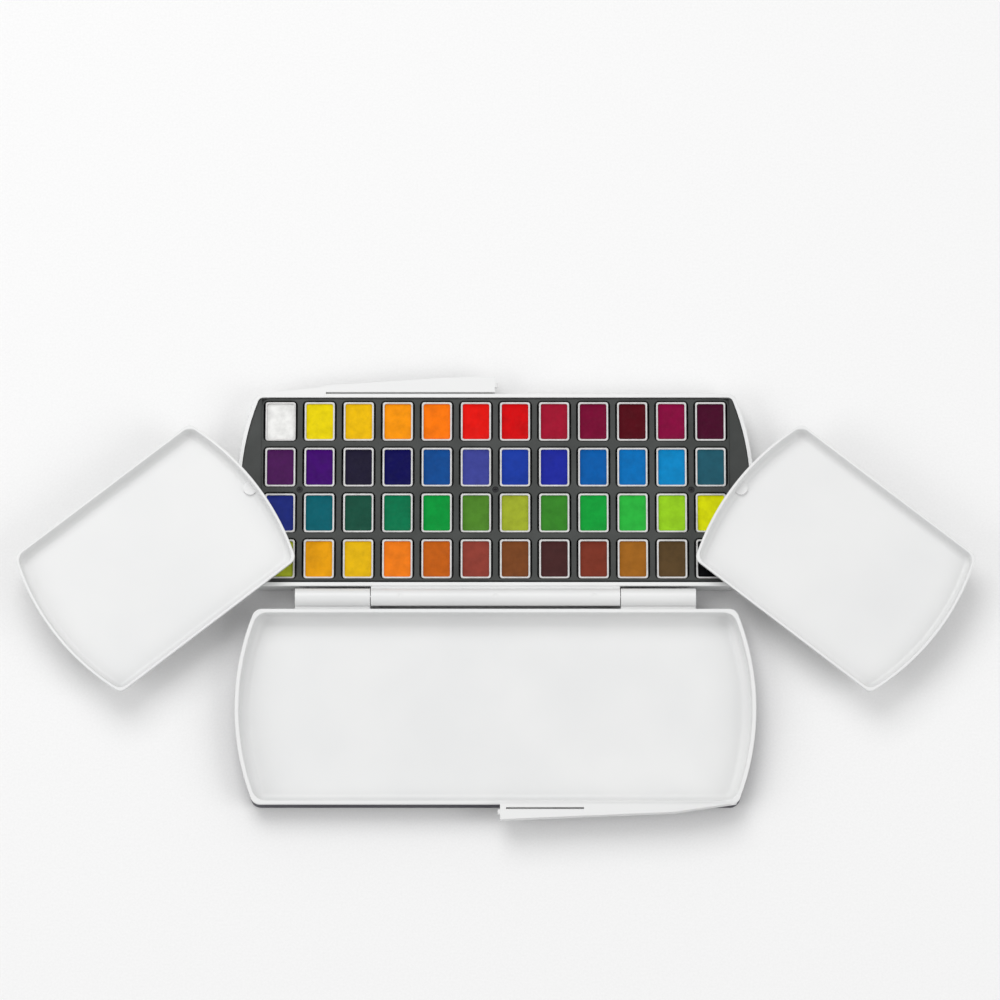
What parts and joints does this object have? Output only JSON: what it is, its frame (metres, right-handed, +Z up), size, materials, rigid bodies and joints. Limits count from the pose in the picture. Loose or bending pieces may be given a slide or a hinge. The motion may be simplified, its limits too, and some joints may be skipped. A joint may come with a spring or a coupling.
{
  "type": "watercolor pan set",
  "caption": "Folding watercolor case with half pans in a tray, a fold-back mixing lid and two swing-out mixing wings; shown open with the wings out.",
  "frame": {"origin": "middle of the underside of the base, on the table", "axes": "+X along the case, to the right; +Y to the latch side of the base; +Z up. The open lid lies on the -Y side"},
  "size_m": [0.4848, 0.2287, 0.0234],
  "materials": {
    "white_plastic": "satin moulded, lightly glossy",
    "navy_plastic": "satin metallic navy",
    "grey_plastic": "fine moulded texture, satin",
    "steel": "drawn, plain",
    "pivot_plastic": "satin acetal",
    "paint_titanium_white": "dried watercolour cake in a white cup, satin",
    "paint_lemon_yellow": "dried watercolour cake in a white cup, satin",
    "paint_primary_yellow": "dried watercolour cake in a white cup, satin",
    "paint_golden_yellow": "dried watercolour cake in a white cup, satin",
    "paint_bright_orange": "dried watercolour cake in a white cup, satin",
    "paint_vermilion": "dried watercolour cake in a white cup, satin",
    "paint_scarlet": "dried watercolour cake in a white cup, satin",
    "paint_crimson": "dried watercolour cake in a white cup, satin",
    "paint_wine_red": "dried watercolour cake in a white cup, satin",
    "paint_dark_madder": "dried watercolour cake in a white cup, satin",
    "paint_magenta": "dried watercolour cake in a white cup, satin",
    "paint_plum": "dried watercolour cake in a white cup, satin",
    "paint_red_violet": "dried watercolour cake in a white cup, satin",
    "paint_violet": "dried watercolour cake in a white cup, satin",
    "paint_payne_blue": "dried watercolour cake in a white cup, satin",
    "paint_midnight_blue": "dried watercolour cake in a white cup, satin",
    "paint_phthalo_blue": "dried watercolour cake in a white cup, satin",
    "paint_lavender_blue": "dried watercolour cake in a white cup, satin",
    "paint_cobalt_blue": "dried watercolour cake in a white cup, satin",
    "paint_ultramarine": "dried watercolour cake in a white cup, satin",
    "paint_cerulean": "dried watercolour cake in a white cup, satin",
    "paint_azure": "dried watercolour cake in a white cup, satin",
    "paint_sky_blue": "dried watercolour cake in a white cup, satin",
    "paint_slate_teal": "dried watercolour cake in a white cup, satin",
    "paint_indigo": "dried watercolour cake in a white cup, satin",
    "paint_deep_teal": "dried watercolour cake in a white cup, satin",
    "paint_forest_green": "dried watercolour cake in a white cup, satin",
    "paint_viridian": "dried watercolour cake in a white cup, satin",
    "paint_emerald": "dried watercolour cake in a white cup, satin",
    "paint_sap_green": "dried watercolour cake in a white cup, satin",
    "paint_moss_green": "dried watercolour cake in a white cup, satin",
    "paint_hooker_green": "dried watercolour cake in a white cup, satin",
    "paint_bright_green": "dried watercolour cake in a white cup, satin",
    "paint_leaf_green": "dried watercolour cake in a white cup, satin",
    "paint_lime_green": "dried watercolour cake in a white cup, satin",
    "paint_acid_yellow": "dried watercolour cake in a white cup, satin",
    "paint_olive_yellow": "dried watercolour cake in a white cup, satin",
    "paint_gamboge": "dried watercolour cake in a white cup, satin",
    "paint_indian_gold": "dried watercolour cake in a white cup, satin",
    "paint_warm_orange": "dried watercolour cake in a white cup, satin",
    "paint_copper_orange": "dried watercolour cake in a white cup, satin",
    "paint_red_brown": "dried watercolour cake in a white cup, satin",
    "paint_umber": "dried watercolour cake in a white cup, satin",
    "paint_dark_maroon": "dried watercolour cake in a white cup, satin",
    "paint_burnt_sienna": "dried watercolour cake in a white cup, satin",
    "paint_ochre_brown": "dried watercolour cake in a white cup, satin",
    "paint_sepia": "dried watercolour cake in a white cup, satin",
    "paint_lamp_black": "dried watercolour cake in a white cup, satin"
  },
  "bodies": {
    "base": {"base_shell": "white_plastic", "pan_tray": "grey_plastic", "tray_screws": "steel", "pan_01_titanium_white": "paint_titanium_white", "pan_02_lemon_yellow": "paint_lemon_yellow", "pan_03_primary_yellow": "paint_primary_yellow", "pan_04_golden_yellow": "paint_golden_yellow", "pan_05_bright_orange": "paint_bright_orange", "pan_06_vermilion": "paint_vermilion", "pan_07_scarlet": "paint_scarlet", "pan_08_crimson": "paint_crimson", "pan_09_wine_red": "paint_wine_red", "pan_10_dark_madder": "paint_dark_madder", "pan_11_magenta": "paint_magenta", "pan_12_plum": "paint_plum", "pan_13_red_violet": "paint_red_violet", "pan_14_violet": "paint_violet", "pan_15_payne_blue": "paint_payne_blue", "pan_16_midnight_blue": "paint_midnight_blue", "pan_17_phthalo_blue": "paint_phthalo_blue", "pan_18_lavender_blue": "paint_lavender_blue", "pan_19_cobalt_blue": "paint_cobalt_blue", "pan_20_ultramarine": "paint_ultramarine", "pan_21_cerulean": "paint_cerulean", "pan_22_azure": "paint_azure", "pan_23_sky_blue": "paint_sky_blue", "pan_24_slate_teal": "paint_slate_teal", "pan_25_indigo": "paint_indigo", "pan_26_deep_teal": "paint_deep_teal", "pan_27_forest_green": "paint_forest_green", "pan_28_viridian": "paint_viridian", "pan_29_emerald": "paint_emerald", "pan_30_sap_green": "paint_sap_green", "pan_31_moss_green": "paint_moss_green", "pan_32_hooker_green": "paint_hooker_green", "pan_33_bright_green": "paint_bright_green", "pan_34_leaf_green": "paint_leaf_green", "pan_35_lime_green": "paint_lime_green", "pan_36_acid_yellow": "paint_acid_yellow", "pan_37_olive_yellow": "paint_olive_yellow", "pan_38_gamboge": "paint_gamboge", "pan_39_indian_gold": "paint_indian_gold", "pan_40_warm_orange": "paint_warm_orange", "pan_41_copper_orange": "paint_copper_orange", "pan_42_red_brown": "paint_red_brown", "pan_43_umber": "paint_umber", "pan_44_dark_maroon": "paint_dark_maroon", "pan_45_burnt_sienna": "paint_burnt_sienna", "pan_46_ochre_brown": "paint_ochre_brown", "pan_47_sepia": "paint_sepia", "pan_48_lamp_black": "paint_lamp_black"},
    "hinge_pin": {"hinge_pin": "steel"},
    "lid": {"lid_cover": "navy_plastic", "lid_liner": "white_plastic"},
    "left_pivot": {"wing_pivot_left": "pivot_plastic"},
    "left_wing": {"wing_left": "white_plastic"},
    "right_pivot": {"wing_pivot_right": "pivot_plastic"},
    "right_wing": {"wing_right": "white_plastic"}
  },
  "joints": [
    {"name": "hinge_pin_turn", "type": "hinge", "parent": "base", "child": "hinge_pin", "pos_m": [0, -0.0558, 0.0145], "axis": [-1, 0, 0], "range_deg": [0, 90]},
    {"name": "lid_turn", "type": "hinge", "parent": "hinge_pin", "child": "lid", "pos_m": [0, -0.0558, 0.0145], "axis": [-1, 0, 0], "range_deg": [0, 90]},
    {"name": "left_wing_swivel", "type": "hinge", "parent": "base", "child": "left_pivot", "pos_m": [-0.1245, 0, 0.0147], "axis": [0, 0, -1], "range_deg": [-20, 218]},
    {"name": "left_wing_lift", "type": "slide", "parent": "left_pivot", "child": "left_wing", "axis": [0, 0, -1], "range_m": [-0.012, 0]},
    {"name": "right_wing_swivel", "type": "hinge", "parent": "base", "child": "right_pivot", "pos_m": [0.1245, 0, 0.0147], "axis": [0, 0, 1], "range_deg": [-20, 218]},
    {"name": "right_wing_lift", "type": "slide", "parent": "right_pivot", "child": "right_wing", "axis": [0, 0, -1], "range_m": [-0.012, 0]}
  ]
}
